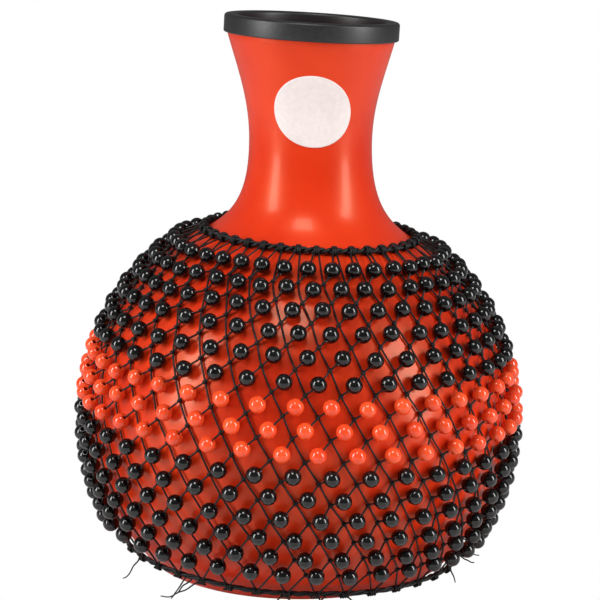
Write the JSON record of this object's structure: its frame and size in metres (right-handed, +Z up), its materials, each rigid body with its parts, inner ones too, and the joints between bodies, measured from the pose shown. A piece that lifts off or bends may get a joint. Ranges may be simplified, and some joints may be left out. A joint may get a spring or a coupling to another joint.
{
  "type": "shekere shaker",
  "caption": "Glossy orange-red bottle-shaped shaker with a loose net of black and red beads, a black rubber rim trim and a flat base.",
  "frame": {"origin": "centre of the flat base, under the centre of the ball-shaped belly", "axes": "+Z up along the plumb neck, -Y towards the pictured front with the label, +X towards the side that the net's axis leans to"},
  "size_m": [0.258, 0.2578, 0.3111],
  "materials": {
    "lacquer": "glossy",
    "rubber": "satin",
    "label": "satin",
    "cord": "satin",
    "beads": "glossy"
  },
  "bodies": {
    "shell": {"shell": "lacquer", "rim_trim": "rubber", "label_disc": "label"},
    "collar": {"collar_cord": "cord"},
    "net": {"net_strand_01": "beads", "net_strand_02": "beads", "net_strand_03": "beads", "net_strand_04": "beads", "net_strand_05": "beads", "net_strand_06": "beads", "net_strand_07": "beads", "net_strand_08": "beads", "net_strand_09": "beads", "net_strand_10": "beads", "net_strand_11": "beads", "net_strand_12": "beads", "net_strand_13": "beads", "net_strand_14": "beads", "net_strand_15": "beads", "net_strand_16": "beads", "net_strand_17": "beads", "net_strand_18": "beads", "net_strand_19": "beads", "net_strand_20": "beads", "net_strand_21": "beads", "net_strand_22": "beads", "net_strand_23": "beads", "net_strand_24": "beads", "net_strand_25": "beads", "net_strand_26": "beads", "net_strand_27": "beads", "net_strand_28": "beads", "net_strand_29": "beads", "net_strand_30": "beads", "net_strand_31": "beads", "net_strand_32": "beads", "net_strand_33": "beads", "net_strand_34": "beads", "net_strand_35": "beads", "net_strand_36": "beads", "net_strand_37": "beads", "net_strand_38": "beads", "net_strand_39": "beads", "hem_cord": "cord"}
  },
  "joints": [
    {"name": "net_spin", "type": "hinge", "parent": "shell", "child": "collar", "pos_m": [0, 0, 0.083], "axis": [0.0558, 0, 0.9984], "continuous": true},
    {"name": "net_shake", "type": "slide", "parent": "collar", "child": "net", "axis": [0.0558, 0, 0.9984], "range_m": [0, 0.003]}
  ]
}
